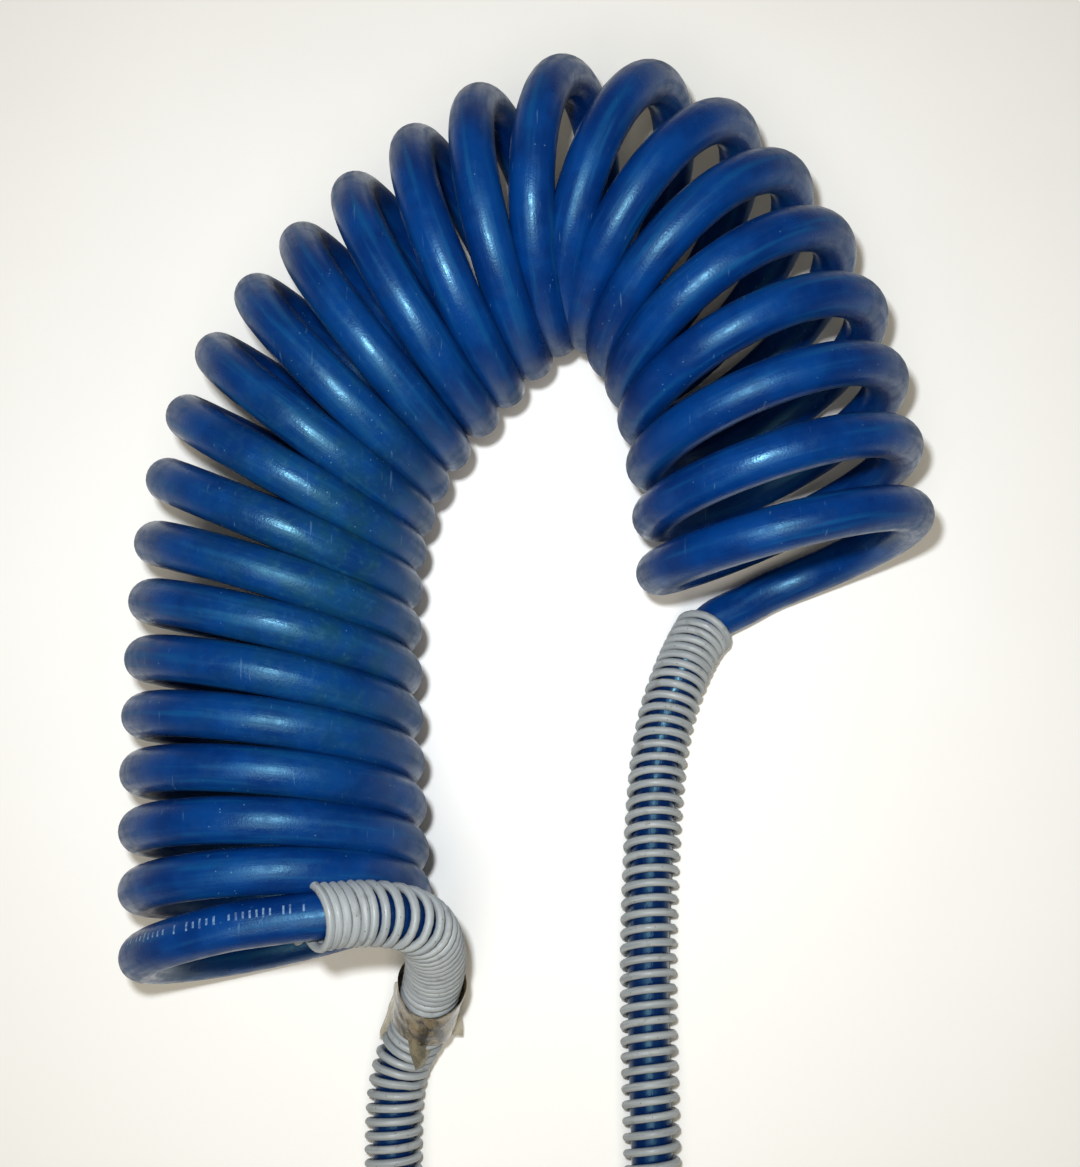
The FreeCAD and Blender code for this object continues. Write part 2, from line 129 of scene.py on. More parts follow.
# ---------------------------------------------------------------- curves and paths
def nurbs(name, points, resolution):
    """One open, smooth spline with these control points."""
    curve = bpy.data.curves.new(name, "CURVE")
    curve.dimensions = "3D"
    curve.resolution_u = resolution
    spline = curve.splines.new("NURBS")
    spline.points.add(len(points) - 1)
    for knot, point in zip(spline.points, points):
        knot.co = (*point, 1)
    spline.order_u = 3
    spline.use_endpoint_u = True
    made = bpy.data.objects.new(name, curve)
    bpy.context.scene.collection.objects.link(made)
    return made


def points_of(curve):
    """The points along a curve that has no bevel; the curve itself is then removed."""
    mesh = bpy.data.meshes.new_from_object(curve)
    points = np.array([v.co for v in mesh.vertices], float)
    bpy.data.meshes.remove(mesh)
    bpy.data.objects.remove(curve)
    return points


def lengths_along(points):
    return np.concatenate([[0], np.cumsum(np.linalg.norm(np.diff(points, axis=0), axis=1))])


def sampled(values, places, path=None):
    """Values given at the path's points, or those points themselves, at these lengths along it."""
    along = lengths_along(values if path is None else path)
    return np.stack([np.interp(places, along, values[:, k]) for k in range(3)], axis=-1)


def frames(points):
    """Heading and two crosswise directions at each point, carried along without twist from straight up."""
    heading = unit(np.gradient(points, axis=0))
    side = np.empty_like(points)
    carried = np.array([0, 0, 1.0])
    for i, ahead in enumerate(heading):
        carried = carried - ahead * carried.dot(ahead)
        carried /= np.linalg.norm(carried)
        side[i] = carried
    return heading, side, np.cross(heading, side)


coil_axis = points_of(nurbs("coil_axis", [(x * MM, y * MM, 0) for x, y in COIL_ROUTE], 40))


def coil_turns(turn):
    """Centre, radius, outward and upward directions of the coil at these turns."""
    x = turn / TURNS
    steps = np.linspace(0, TURNS, 1000)
    travelled = np.cumsum(smooth(PITCHES, steps))
    share = (travelled - travelled[0]) / (travelled[-1] - travelled[0])
    places = np.interp(turn, steps, share) * lengths_along(coil_axis)[-1]
    centre = sampled(coil_axis, places)
    tangent = sampled(np.gradient(coil_axis, lengths_along(coil_axis), axis=0), places, coil_axis)
    square = np.arctan2(tangent[:, 0], tangent[:, 1])
    fan = np.radians(FIRST_FAN + (LAST_FAN - FIRST_FAN) * x)
    pull = np.radians(LEAD_PULL * np.exp(-turn / PULL_TURNS))
    heading = (1 - FAN_SHARE) * square + FAN_SHARE * fan - pull + np.radians(smooth(FURTHER_ROUND, turn))
    lean = np.radians(smooth(LEANS, turn))
    radius = COIL_RADIUS - DRAWN_IN * np.sin(math.pi * x)
    centre[:, 2] = radius * np.cos(lean) + HOSE_RADIUS
    ahead = np.stack([np.sin(heading), np.cos(heading), 0 * heading], axis=-1)
    outward = np.stack([-np.cos(heading), np.sin(heading), 0 * heading], axis=-1)
    upward = np.sin(lean)[:, None] * ahead + np.cos(lean)[:, None] * np.array([0, 0, 1.0])
    return centre, radius, outward, upward


def coil_points():
    """The helix, from the top of its first turn to the bottom of its last."""
    turn = np.linspace(0, TURNS, int(TURNS * POINTS_PER_TURN) + 1)
    centre, radius, outward, upward = coil_turns(turn)
    drawn_radius = (radius / math.cos(math.pi / POINTS_PER_TURN))[:, None]
    angle = (turn * 2 * math.pi)[:, None]
    return centre + drawn_radius * (np.cos(angle) * upward + np.sin(angle) * outward)


left_points = [tuple(MM * v for v in point) for point in reversed(LEFT_ROUTE)]
right_points = [tuple(MM * v for v in point) for point in RIGHT_ROUTE]
hose_line = points_of(nurbs("hose_line", [*left_points, *map(tuple, coil_points()), *right_points], 24))
HOSE_LENGTH = lengths_along(hose_line)[-1]
hose_path = sampled(hose_line, np.linspace(0, HOSE_LENGTH, round(HOSE_LENGTH / HOSE_STEP)))
hose_along = lengths_along(hose_path)


def place_of(point):
    """Length along the hose, in metres, of its point nearest to this one in millimetres."""
    distance = np.linalg.norm(hose_path - np.array(point) * MM, axis=1)
    return hose_along[np.argmin(distance)]


# where the coil begins and ends, where the guards' mouths are, and where the tape begins and ends
COIL_START = place_of((-73.5, -8.7, 76.8))
COIL_END = place_of((75.8, 75.7, 6.4))
LEFT_MOUTH = place_of((-58.5, -9.5, 76.5))
RIGHT_MOUTH = place_of((55.2, 68.8, 8.7))
TAPE_START = place_of((-29.5, -39, 31))
TAPE_END = place_of((-33, -52, 17))


# ---------------------------------------------------------------- meshes
def skin(count, sides, base=0, inward=False):
    """Quads between rings of points, numbered ring by ring, and the ring and step of each corner."""
    i, k = np.meshgrid(np.arange(count - 1), np.arange(sides), indexing="ij")
    rings = np.stack([i, i, i + 1, i + 1], axis=-1).reshape(-1, 4)
    steps = np.stack([k, k + 1, k + 1, k], axis=-1).reshape(-1, 4)
    if inward:
        rings, steps = rings[:, ::-1], steps[:, ::-1]
    return base + rings * sides + steps % sides, rings, steps


def mesh_from(name, vertices, faces, corner_uvs=None, flat_from=None, paint=None):
    """A mesh object of these faces; those from flat_from on are shaded flat."""
    mesh = bpy.data.meshes.new(name)
    mesh.from_pydata(np.asarray(vertices).tolist(), [], [list(map(int, face)) for face in faces])
    if corner_uvs is not None:
        layer = mesh.uv_layers.new(name="UVMap")
        layer.data.foreach_set("uv", np.asarray(corner_uvs, float).ravel())
    shaded = np.ones(len(faces), bool)
    if flat_from is not None:
        shaded[flat_from:] = False
    mesh.polygons.foreach_set("use_smooth", shaded)
    mesh.update()
    if paint:
        mesh.materials.append(paint)
    made = bpy.data.objects.new(name, mesh)
    bpy.context.scene.collection.objects.link(made)
    return made


def tube(name, path, radius, sides, bore=None, paint=None):
    """A tube along a path, solid or hollow, with flat ends. Its UV is metres along by turns around."""
    heading, side, other = frames(path)
    along = lengths_along(path)
    angle = np.linspace(0, 2 * math.pi, sides, endpoint=False)[None, :, None]
    ring = np.cos(angle) * side[:, None, :] + np.sin(angle) * other[:, None, :]
    count = len(path)
    vertices = (path[:, None, :] + np.reshape(radius, (-1, 1, 1)) * ring).reshape(-1, 3)
    faces, rings, steps = skin(count, sides)
    uvs = np.stack([along[rings], steps / sides], axis=-1)
    if bore is None:
        ends = [tuple(range(sides - 1, -1, -1)), tuple((count - 1) * sides + k for k in range(sides))]
        end_uvs = np.zeros((2 * sides, 2))
    else:
        base = len(vertices)
        vertices = np.concatenate([vertices, (path[:, None, :] + bore * ring).reshape(-1, 3)])
        inner, rings, steps = skin(count, sides, base, inward=True)
        faces = np.concatenate([faces, inner])
        uvs = np.concatenate([uvs, np.stack([along[rings], steps / sides], axis=-1)])
        last = (count - 1) * sides
        ends = []
        for k in range(sides):
            n = (k + 1) % sides
            ends += [(k, base + k, base + n, n), (last + k, last + n, base + last + n, base + last + k)]
        end_uvs = np.zeros((8 * sides, 2))
    uvs = np.concatenate([uvs.reshape(-1, 2), end_uvs])
    return mesh_from(name, vertices, [*faces.tolist(), *ends], uvs, len(faces), paint)


def vertex_values(piece, name, values):
    """A number at every point of the mesh, for its material."""
    attribute = piece.data.attributes.new(name, "FLOAT", "POINT")
    attribute.data.foreach_set("value", np.asarray(values, float).ravel())


# ---------------------------------------------------------------- materials
class Paint:
    """A node material, with short ways to add nodes to it."""

    def __init__(self, name, **fixed):
        self.material = bpy.data.materials.new(name)
        self.material.use_nodes = True
        self.tree = self.material.node_tree
        self.shader = self.tree.nodes["Principled BSDF"]
        for socket, value in fixed.items():
            self.shader.inputs[socket.replace("_", " ")].default_value = value

    def add(self, kind, inputs, output=0, **settings):
        node = self.tree.nodes.new(kind)
        for name, value in settings.items():
            setattr(node, name, value)
        for socket, value in inputs.items():
            if isinstance(value, bpy.types.NodeSocket):
                self.tree.links.new(value, node.inputs[socket])
            else:
                node.inputs[socket].default_value = value
        return node.outputs[output]

    def place(self):
        return self.add("ShaderNodeTexCoord", {}, "Object")

    def uv(self):
        split = self.add("ShaderNodeSeparateXYZ", {0: self.add("ShaderNodeTexCoord", {}, "UV")})
        return split, split.node.outputs[1]

    def stretched(self, x, y, z):
        """The place in the object, scaled by a different number along each axis."""
        return self.add("ShaderNodeMapping", {"Vector": self.place(), "Scale": (x, y, z)})

    def along_tube(self, along, around):
        """A seamless place on a tube: so many units per metre along it, and this radius around it."""
        u, v = self.uv()
        angle = self.math("MULTIPLY", v, 2 * math.pi)
        x = self.math("MULTIPLY", u, along)
        y = self.math("MULTIPLY", self.math("COSINE", angle), around)
        z = self.math("MULTIPLY", self.math("SINE", angle), around)
        return self.add("ShaderNodeCombineXYZ", {0: x, 1: y, 2: z})

    def noise(self, where, scale=1.0, detail=3.0, roughness=0.55):
        sockets = {"Vector": where, "Scale": scale, "Detail": detail, "Roughness": roughness}
        return self.add("ShaderNodeTexNoise", sockets)

    def spots(self, where, scale, size):
        """1 in small spots, 0 between them."""
        distance = self.add("ShaderNodeTexVoronoi", {"Vector": where, "Scale": scale})
        return self.ramp(distance, size, size * 0.6)

    def math(self, operation, a, b=0.5):
        return self.add("ShaderNodeMath", {0: a, 1: b}, operation=operation)

    def ramp(self, value, low, high, start=0.0, end=1.0):
        sockets = {"Value": value, "From Min": low, "From Max": high, "To Min": start, "To Max": end}
        return self.add("ShaderNodeMapRange", sockets, interpolation_type="SMOOTHSTEP")

    def mix(self, factor, a, b):
        return self.add("ShaderNodeMix", {0: factor, 6: a, 7: b}, 2, data_type="RGBA")

    def value(self, name):
        return self.add("ShaderNodeAttribute", {}, "Fac", attribute_name=name)

    def use(self, socket, value):
        self.tree.links.new(value, self.shader.inputs[socket])

    def bump(self, height, distance):
        sockets = {"Height": height, "Distance": distance, "Strength": 1.0}
        self.use("Normal", self.add("ShaderNodeBump", sockets))


def grey(level, warmth=0.0):
    return (level * (1 + warmth), level, level * (1 - warmth), 1)


def hose_paint():
    """Satin blue nylon, worn teal on one side, dusty where the turns rub with a painted reflection of the
    white floor there, glossy and darkened with painted shade under the guards.
    """
    paint = Paint("blue_nylon", Specular_IOR_Level=0.5, Specular_Tint=(0.36, 0.82, 1, 1))
    place = paint.place()
    mottle = paint.noise(place, 70, 4)
    streak = paint.noise(paint.along_tube(28, 2.2), 1.0, 4)
    colour = paint.mix(paint.ramp(mottle, 0.35, 0.65), (0.0001, 0.02, 0.125, 1), (0.0002, 0.034, 0.18, 1))
    colour = paint.mix(paint.ramp(streak, 0.5, 0.7, 0, 0.65), colour, (0.001, 0.062, 0.2, 1))
    worn = paint.ramp(paint.noise(place, 160, 4), 0.3, 0.75, 0.25, 1)
    worn = paint.math("MULTIPLY", paint.value("wear"), worn)
    colour = paint.mix(worn, colour, (0.005, 0.045, 0.085, 1))
    haze = paint.ramp(paint.noise(place, 520, 3), 0.5, 0.8, 0, 0.3)
    haze = paint.math("MULTIPLY", paint.value("wear"), haze)
    colour = paint.mix(haze, colour, (0.03, 0.12, 0.17, 1))
    scattered = paint.ramp(paint.noise(place, 55, 2), 0.5, 0.6)
    specks = paint.math("MULTIPLY", paint.spots(place, 420, 0.1), scattered)
    specks = paint.math("MULTIPLY", specks, paint.math("SUBTRACT", 1.0, paint.value("clean_and_shaded")))
    colour = paint.mix(specks, colour, (0.07, 0.17, 0.28, 1))
    scratch = paint.noise(paint.stretched(900, 60, 250), 1.0, 2)
    colour = paint.mix(paint.ramp(scratch, 0.69, 0.76, 0, 0.35), colour, (0.09, 0.19, 0.33, 1))
    # grey on the grazing outer sides of the turns: partly dust, partly a painted reflection of the white
    # floor; it also makes them rougher
    dust_and_reflection_amount = paint.ramp(paint.noise(place, 110, 4), 0.3, 0.7, 0.1, 0.5)
    dust_and_reflection_amount = paint.math("MULTIPLY", paint.value("dust_and_floor_reflection"), dust_and_reflection_amount)
    colour = paint.mix(dust_and_reflection_amount, colour, (0.1, 0.105, 0.11, 1))
    colour = paint.mix(print_marks(paint), colour, (0.22, 0.35, 0.52, 1))
    # painted shade: under the guards the blue is darkened, as if in the shadow of the wire
    colour = paint.mix(paint.math("MULTIPLY", paint.value("clean_and_shaded"), 0.8), colour, (0.0002, 0.008, 0.055, 1))
    paint.use("Base Color", colour)
    rough = paint.ramp(streak, 0.35, 0.65, 0.29, 0.46)
    rough = paint.math("ADD", rough, paint.ramp(paint.noise(place, 260, 4), 0.4, 0.7, -0.03, 0.1))
    rough = paint.math("ADD", rough, paint.math("MULTIPLY", paint.value("dust_and_floor_reflection"), 0.3))
    rough = paint.math("SUBTRACT", rough, paint.math("MULTIPLY", paint.value("clean_and_shaded"), 0.06))
    paint.use("Roughness", rough)
    relief = paint.math("ADD", paint.noise(place, 1400, 2), paint.math("MULTIPLY", streak, 3.0))
    paint.bump(relief, 0.00006)
    return paint.material


def print_marks(paint):
    """A faded row of separate upright ink ticks, of uneven height and with gaps, along part of the hose."""
    along, row = paint.value("print_along"), paint.value("print_row")
    cell = paint.math("DIVIDE", along, TICK_STEP)
    tick = {"W": paint.math("FLOOR", cell)}
    chance = paint.add("ShaderNodeTexWhiteNoise", tick, "Value", noise_dimensions="1D")
    half = paint.math("ADD", 0.5, paint.math("MULTIPLY", chance, 0.9))
    ink = paint.math("LESS_THAN", paint.math("ABSOLUTE", row), half)
    ink = paint.math("MULTIPLY", ink, paint.math("LESS_THAN", paint.math("FRACT", cell), 0.3))
    ink = paint.math("MULTIPLY", ink, paint.math("GREATER_THAN", chance, 0.2))
    ink = paint.math("MULTIPLY", ink, paint.math("GREATER_THAN", along, 0.0))
    ink = paint.math("MULTIPLY", ink, paint.math("LESS_THAN", along, PRINT_LENGTH))
    faded = paint.ramp(paint.noise(paint.place(), 900, 3), 0.35, 0.6, 0.2, 0.75)
    return paint.math("MULTIPLY", ink, faded)


def wire_paint():
    """Grey coated spring wire, a little streaked and soiled."""
    paint = Paint("grey_coated_wire")
    place = paint.place()
    streak = paint.noise(paint.along_tube(60, 1.6), 1.0, 3)
    soil = paint.noise(place, 240, 4)
    colour = paint.mix(paint.ramp(streak, 0.35, 0.65), (0.27, 0.295, 0.31, 1), (0.37, 0.395, 0.4, 1))
    colour = paint.mix(paint.ramp(soil, 0.56, 0.74, 0, 0.55), colour, (0.17, 0.17, 0.15, 1))
    colour = paint.mix(paint.spots(place, 500, 0.12), colour, (0.1, 0.1, 0.09, 1))
    paint.use("Base Color", colour)
    paint.use("Roughness", paint.ramp(soil, 0.35, 0.65, 0.38, 0.6))
    paint.bump(paint.math("ADD", streak, paint.noise(place, 1800, 2)), 0.00004)
    return paint.material


def brass_paint():
    """Turned brass with machining rings along Y, the axis of every fitting, and darker handled patches."""
    paint = Paint("turned_brass", Metallic=1.0)
    patches = paint.noise(paint.place(), 130, 4)
    rings = paint.noise(paint.stretched(60, 9000, 60), 1.0, 1)
    colour = paint.mix(paint.ramp(patches, 0.35, 0.68), (0.78, 0.56, 0.24, 1), (0.52, 0.33, 0.12, 1))
    colour = paint.mix(paint.ramp(rings, 0.45, 0.6, 0, 0.3), colour, (0.88, 0.68, 0.34, 1))
    paint.use("Base Color", colour)
    paint.use("Roughness", paint.ramp(patches, 0.3, 0.7, 0.2, 0.42))
    paint.bump(rings, 0.00004)
    return paint.material


def steel_paint():
    """Spring steel, blued and finely brushed."""
    paint = Paint("ring_steel", Metallic=1.0)
    brushed = paint.noise(paint.stretched(1200, 9000, 1200), 1.0, 2)
    paint.use("Base Color", paint.mix(brushed, (0.32, 0.33, 0.36, 1), (0.5, 0.5, 0.52, 1)))
    paint.use("Roughness", paint.ramp(brushed, 0.3, 0.7, 0.25, 0.42))
    paint.bump(brushed, 0.00002)
    return paint.material


def rubber_paint():
    """Black seal rubber with a faint bloom."""
    paint = Paint("seal_rubber")
    bloom = paint.noise(paint.place(), 700, 4)
    paint.use("Base Color", paint.mix(paint.ramp(bloom, 0.45, 0.75), grey(0.012), grey(0.035)))
    paint.use("Roughness", paint.ramp(bloom, 0.3, 0.7, 0.5, 0.72))
    paint.bump(bloom, 0.00003)
    return paint.material


def washer_paint():
    """Off-white moulded plastic."""
    paint = Paint("washer_plastic")
    grain = paint.noise(paint.place(), 900, 3)
    paint.use("Base Color", paint.mix(grain, (0.72, 0.70, 0.62, 1), (0.82, 0.80, 0.73, 1)))
    paint.use("Roughness", paint.ramp(grain, 0.3, 0.7, 0.35, 0.5))
    paint.bump(grain, 0.00002)
    return paint.material


def core_paint():
    """Black nylon of the inner tube, smooth and a little cloudy."""
    paint = Paint("black_nylon")
    cloud = paint.noise(paint.along_tube(40, 2), 1.0, 3)
    paint.use("Base Color", paint.mix(cloud, grey(0.008), grey(0.02)))
    paint.use("Roughness", paint.ramp(cloud, 0.3, 0.7, 0.25, 0.4))
    return paint.material


def braid_paint():
    """Crossing strands of white polyester yarn."""
    paint = Paint("braid_yarn")
    u, v = paint.uv()
    turn = paint.math("MULTIPLY", v, 16 * math.pi)
    run = paint.math("MULTIPLY", u, 1400.0)
    one_way = paint.math("SINE", paint.math("ADD", run, turn))
    other_way = paint.math("SINE", paint.math("SUBTRACT", run, turn))
    weave = paint.math("MAXIMUM", one_way, other_way)
    paint.use("Base Color", paint.mix(paint.ramp(weave, 0.0, 0.9), grey(0.3), grey(0.74, 0.02)))
    paint.use("Roughness", paint.ramp(weave, 0.0, 1.0, 0.85, 0.6))
    paint.bump(weave, 0.0001)
    return paint.material


def tape_paint():
    """Packing tape: pale and clear in the flaps, brown and streaked where it is stuck down, glossy."""
    paint = Paint("packing_tape", Coat_Weight=0.4, Coat_Roughness=0.06)
    folds = paint.noise(paint.stretched(330, 70, 200), 1.0, 5, 0.6)
    cloud = paint.noise(paint.place(), 140, 3)
    dirt = paint.value("dirt")
    brown = paint.mix(paint.ramp(folds, 0.42, 0.56), (0.19, 0.14, 0.07, 1), (0.022, 0.014, 0.005, 1))
    brown = paint.mix(paint.ramp(cloud, 0.5, 0.72, 0, 0.5), brown, (0.42, 0.37, 0.26, 1))
    pale = paint.mix(paint.ramp(folds, 0.4, 0.7, 0, 0.6), (0.62, 0.57, 0.43, 1), (0.34, 0.29, 0.18, 1))
    paint.use("Base Color", paint.mix(dirt, pale, brown))
    clear = paint.ramp(folds, 0.3, 0.65, 0.4, 0.66)
    paint.use("Alpha", paint.math("MAXIMUM", clear, paint.math("MULTIPLY", dirt, 0.93)))
    paint.use("Roughness", paint.ramp(folds, 0.3, 0.7, 0.1, 0.32))
    paint.bump(folds, 0.0005)
    return paint.material


BLUE = hose_paint()
WIRE = wire_paint()
BRASS = brass_paint()
CORE = core_paint()
BRAID = braid_paint()
TAPE = tape_paint()
NODE_PAINTS = {
    "swivel_o_ring": rubber_paint(),
    "swivel_retaining_ring": steel_paint(),
    "swivel_thrust_washer": washer_paint(),
}


# ---------------------------------------------------------------- the hose
def hose_values(piece, sides):
    """Wear, dust with a painted floor reflection, cleanness with painted shade under the guards, and the
    place of the ink marks at every point of the hose.
    """
    heading, side, other = frames(hose_path)
    angle = np.linspace(0, 2 * math.pi, sides, endpoint=False)[None, :, None]
    normal = np.cos(angle) * side[:, None, :] + np.sin(angle) * other[:, None, :]
    turn = np.clip((hose_along - COIL_START) / (COIL_END - COIL_START), 0, 1) * TURNS
    centre, _, outward, _ = coil_turns(turn)
    away = unit(hose_path - centre)
    on_coil = ((hose_along > COIL_START) & (hose_along < COIL_END))[:, None]
    facing = (normal * away[:, None, :]).sum(-1)
    # the outward, low sides of the turns at the arch's edges: dust there, and partly a painted reflection of
    # the floor
    low = np.clip(0.75 - away[:, 2:], 0, 1) * (np.abs((away * outward).sum(-1)) > 0.3)[:, None]
    dust_and_floor_reflection = np.clip((facing - 0.72) / 0.28, 0, 1) ** 1.5 * low * on_coil
    worn_spot = np.array([-48, 82, 78]) * MM
    spread = np.array([34, 52, 30]) * MM
    near = ((((hose_path - worn_spot) / spread) ** 2).sum(-1))[:, None]
    wear = np.exp(-near) * np.ones((1, sides))
    # under the guards: fewer specks and more gloss, and painted shade darkening the blue
    guarded = (hose_along < LEFT_MOUTH - 5 * MM) | (hose_along > RIGHT_MOUTH + 5 * MM)
    clean_and_shaded = guarded[:, None] * np.ones((1, sides))
    up = np.array([0, math.sin(PRINT_FACES), math.cos(PRINT_FACES)])
    up = unit(up - heading * heading.dot(up)[:, None])
    across = np.cross(heading, up)
    row = np.arctan2((normal * across[:, None]).sum(-1), (normal * up[:, None]).sum(-1)) * HOSE_RADIUS / MM
    along = np.repeat((hose_along - LEFT_MOUTH) / MM, sides)
    inner = np.zeros(len(hose_path) * sides)
    named = {"dust_and_floor_reflection": dust_and_floor_reflection, "wear": wear, "clean_and_shaded": clean_and_shaded, "print_row": row, "print_along": along}
    for name, values in named.items():
        vertex_values(piece, name, np.concatenate([np.ravel(values), inner]))


hose = tube("hose", hose_path, HOSE_RADIUS, HOSE_SIDES, BRAID_RADIUS, BLUE)
hose_values(hose, HOSE_SIDES)
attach(hose, "hose")
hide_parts("hose_coil", "hose_cover_left", "hose_cover_right")

inner_path = sampled(hose_path, np.linspace(0, HOSE_LENGTH, 1200))
braid = tube("hose_braid", inner_path, BRAID_RADIUS, 12, CORE_RADIUS, BRAID)
core = tube("hose_core", inner_path, CORE_RADIUS, 12, BORE_RADIUS, CORE)
for piece in (braid, core):
    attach(piece, "hose")
    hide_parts(piece.name + "_left", piece.name + "_right")


# ---------------------------------------------------------------- spring guards
def spring(name, mouth, seat, pitches, leans, flare, phase, node):
    """A wire spring round the hose, from its mouth to its seat, both lengths along the hose.

    pitches and leans are keyed by the distance from the mouth in millimetres. The lean is how far the top of
    each turn leans away from the mouth, in degrees. The first turns are wider by flare, and the wire starts
    at the angle phase.
    """
    steps = 3000
    fine = sampled(hose_path, np.linspace(mouth, seat, steps))
    heading, side, other = frames(fine)
    travelled = np.linspace(0, abs(seat - mouth), steps)
    bend = np.linalg.norm(np.gradient(heading, travelled, axis=0), axis=1)
    window = 121
    bend = np.convolve(np.pad(bend, window // 2, mode="edge"), np.ones(window) / window, mode="valid")
    closed = 2.01 * WIRE_RADIUS / np.clip(1 - bend * GUARD_MEAN_RADIUS * (travelled > SNUG), 0.3, 1)
    pitch = np.maximum(smooth(pitches, travelled / MM) * MM, closed)
    turns = np.concatenate([[0], np.cumsum(np.diff(travelled) / pitch[1:])])
    turn = np.arange(0, turns[-1], 1 / WIRE_POINTS_PER_TURN)
    at = np.interp(turn, turns, np.arange(steps))
    grid = np.arange(steps)

    def along(values):
        return np.stack([np.interp(at, grid, values[:, k]) for k in range(3)], axis=-1)

    from_mouth = np.interp(turn, turns, travelled)
    radius = GUARD_MEAN_RADIUS + flare * np.exp(-from_mouth / FLARE_LENGTH)
    angle = (turn * 2 * math.pi + phase)[:, None]
    spoke = radius[:, None] * (np.cos(angle) * along(side) + np.sin(angle) * along(other))
    lean = np.tan(np.radians(smooth(leans, from_mouth / MM)))[:, None]
    wire = along(fine) + spoke + unit(along(heading)) * lean * spoke[:, 2:]
    made = tube(name, wire, WIRE_RADIUS, WIRE_SIDES, paint=WIRE)
    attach(made, "hose")
    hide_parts(node)
    return made


guard_left = spring(
    "spring_guard_left_wire", LEFT_MOUTH, SPRING_SEAT,
    {0: 2.4, 17: 2.4, 20: 3.6, 36: 3.6, 41: 2.4, 66: 2.4, 76: 3.7, 100: 4, 235: 4.2},
    {0: 31, 12: 19, 22: 8, 45: 2, 60: 0, 80: 0, 110: -10, 235: -8}, 1.5 * MM, 2.2, "spring_guard_left",
)
guard_right = spring(
    "spring_guard_right_wire", RIGHT_MOUTH, HOSE_LENGTH - SPRING_SEAT,
    {0: 2.4, 15: 2.4, 20: 3.3, 40: 3.9, 90: 4.5, 235: 5.1},
    {0: -24, 60: -21, 130: -15, 235: -6}, 0.6 * MM, 2.4, "spring_guard_right",
)


# ---------------------------------------------------------------- the packing tape
def crumple(points, size, seed):
    """Small wrinkles: a few sine waves of random directions, the same each run."""
    random = np.random.default_rng(seed)
    moved = points.copy()
    for _ in range(14):
        wave = unit(random.normal(size=3)) * random.uniform(300, 1100)
        push = unit(random.normal(size=3)) * size * random.uniform(0.4, 1.0)
        moved += np.sin(points @ wave + random.uniform(0, 6.3))[:, None] * push
    return moved


def film_patch(corners, across, down, bulge):
    """A grid of points between four corners, in millimetres, and the quads between them."""
    a, b, c, d = (np.array(corner, float) * MM for corner in corners)
    s, t = (axis.ravel()[:, None] for axis in np.meshgrid(np.linspace(0, 1, across), np.linspace(0, 1, down)))
    points = (a * (1 - s) + b * s) * (1 - t) + (d * (1 - s) + c * s) * t
    points[:, 2] += bulge * np.sin(math.pi * s[:, 0]) * np.sin(math.pi * t[:, 0])
    i, k = np.meshgrid(np.arange(down - 1), np.arange(across - 1), indexing="ij")
    first = (i * across + k).ravel()
    return points, np.stack([first, first + 1, first + across + 1, first + across], axis=-1)


def tape_band(rounds, steps):
    """The band round the guard: it starts and ends further along at its top, and is loose at its sides."""
    angle = np.linspace(0, 2 * math.pi, rounds, endpoint=False)[None, :]
    share = np.linspace(0, 1, steps)[:, None]
    start = TAPE_START - 2 * MM * (1 + np.cos(angle)) / 2 + 5 * MM * np.sin(angle) ** 2
    end = TAPE_END + 2 * MM * np.cos(angle)
    places = start + (end - start) * share
    heading, _, _ = frames(hose_path)
    centre = sampled(hose_path, places.ravel())
    ahead = unit(sampled(heading, places.ravel(), hose_path))
    level = unit(np.cross(ahead, np.array([0, 0, 1.0])))
    above = np.cross(level, ahead)
    round_to = (angle + 0 * share).ravel()[:, None]
    turned = np.cos(round_to) * above + np.sin(round_to) * level
    loose = (np.abs(np.sin(angle)) * (0.9 * (1 - share) + 0.3 * share)).ravel()[:, None] * MM
    reach = GUARD_MEAN_RADIUS + WIRE_RADIUS + 0.3 * MM + loose
    faces, _, _ = skin(steps, rounds)
    return centre + reach * turned, faces


def tape_film():
    """The tape: a band round the guard, two flaps of tape stuck to itself and a twisted tail."""
    left = film_patch(
        [(-34.5, -39, 17), (-41.2, -40.3, 14), (-47, -60, 6), (-40, -57.5, 12)], 14, 34, 0.6 * MM
    )
    right = film_patch(
        [(-23.5, -41.5, 18), (-22, -42, 17), (-21, -57.6, 8), (-31, -55.5, 14)], 16, 28, 0.9 * MM
    )
    tail = film_patch(
        [(-36.5, -51, 28.5), (-26, -52, 22), (-33, -63.5, 19.4), (-35, -64.8, 20.2)], 18, 22, 1.1 * MM
    )
    parts = [
        (*tape_band(84, 30), 0.13 * MM, 1.0),
        (*left, 0.2 * MM, 0.0),
        (*right, 0.2 * MM, 0.1),
        (*tail, 0.22 * MM, 0.7),
    ]
    vertices, faces, dirt = [], [], []
    for seed, (points, quads, wrinkle, dirtiness) in enumerate(parts):
        faces.append(quads + sum(map(len, vertices)))
        vertices.append(crumple(points, wrinkle, seed))
        dirt.append(np.full(len(points), dirtiness))
    film = mesh_from("tape_film", np.concatenate(vertices), np.concatenate(faces), paint=TAPE)
    vertex_values(film, "dirt", np.concatenate(dirt))
    thickness = film.modifiers.new("thickness", "SOLIDIFY")
    thickness.thickness = 0.08 * MM
    return film


tape = tape_film()
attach(tape, "hose")
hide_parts("tape_wrap")


